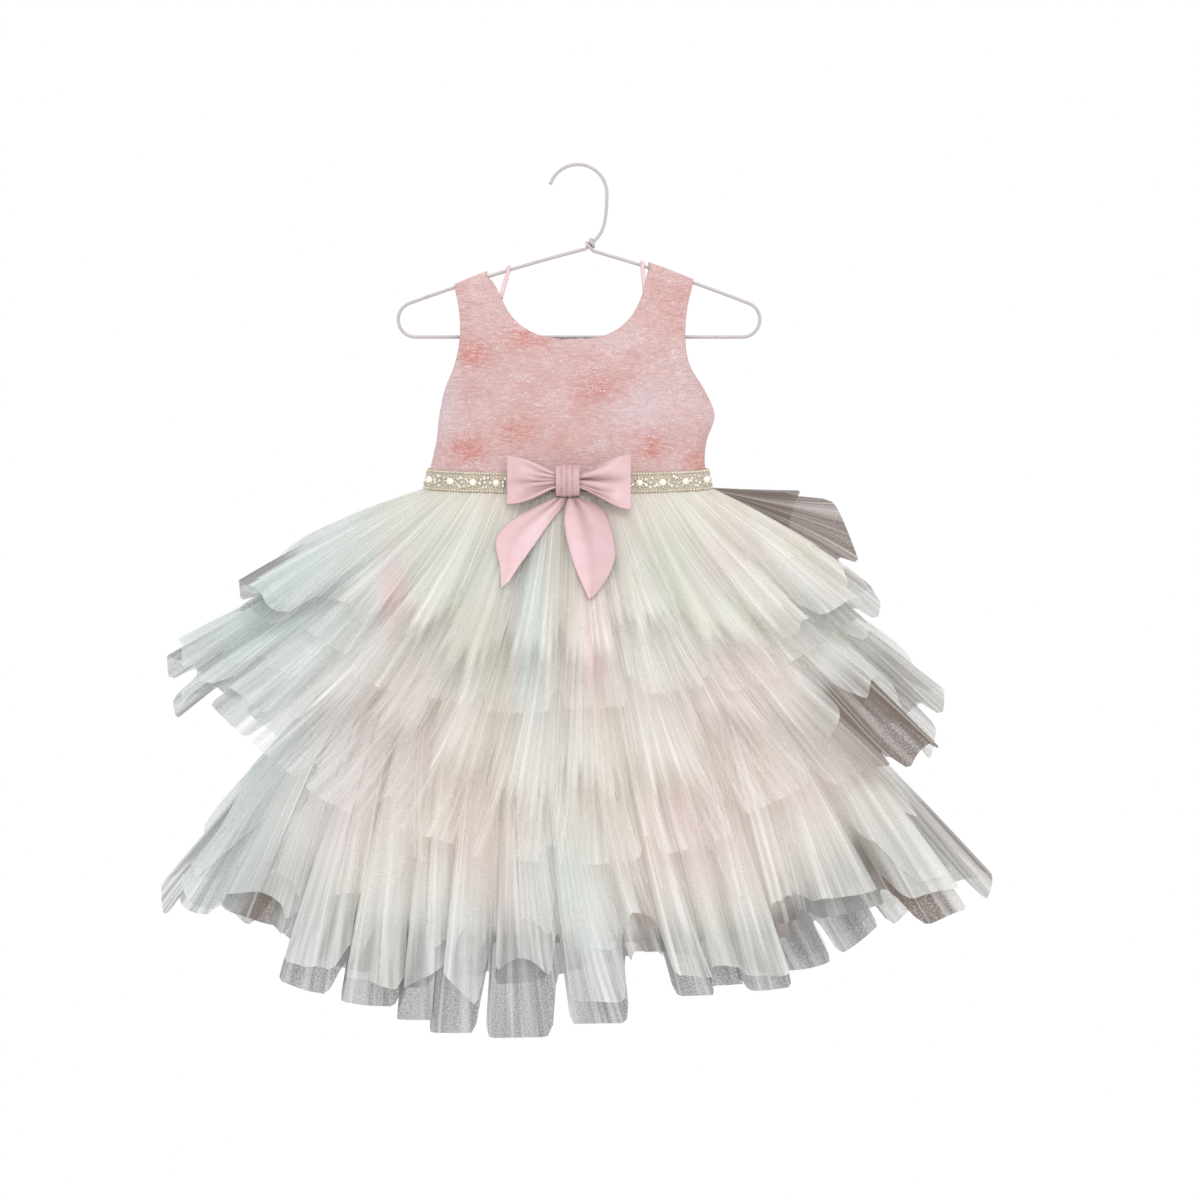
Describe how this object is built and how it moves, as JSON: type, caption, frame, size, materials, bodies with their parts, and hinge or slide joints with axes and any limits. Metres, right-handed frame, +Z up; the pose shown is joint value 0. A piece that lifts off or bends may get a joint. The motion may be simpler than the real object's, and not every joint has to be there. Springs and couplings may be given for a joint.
{
  "type": "toddler party dress on a wire hanger",
  "caption": "Sleeveless toddler party dress with a brocade bodice, beaded waist band, satin bow and tiered tulle skirt, hung on a coated wire hanger.",
  "frame": {"origin": "underside of the hanger hook's arch, where a rod carries it", "axes": "+Z up along the hanging dress, +X to the right seen from in front, and the front faces -Y"},
  "size_m": [0.7169, 0.3063, 0.7207],
  "materials": {
    "wire_coating": "thin vinyl coating, pale pinkish grey",
    "bodice_brocade": "blush brushed floral brocade with a fine glitter",
    "bow_satin": "soft satin, gathered",
    "underskirt_lining": "smooth blush lining",
    "tulle": "crisp ivory tulle with mint, cream and blush tints and fine glitter",
    "pearl_band": "beaded trim of ivory pearls and small clear stones"
  },
  "bodies": {
    "root": {"hanger_wire": "wire_coating", "bodice_front": "bodice_brocade", "bodice_back_left": "bodice_brocade", "bodice_back_right": "bodice_brocade", "hanger_loop_left": "bow_satin", "hanger_loop_right": "bow_satin", "underskirt": "underskirt_lining", "tier_1_front": "tulle", "tier_1_back": "tulle", "tier_2_front": "tulle", "tier_2_back": "tulle", "tier_3_front": "tulle", "tier_3_back": "tulle", "beaded_band": "pearl_band", "bow_knot": "bow_satin", "bow_loop_left": "bow_satin", "bow_loop_right": "bow_satin", "bow_tail_left": "bow_satin", "bow_tail_right": "bow_satin"}
  },
  "joints": []
}
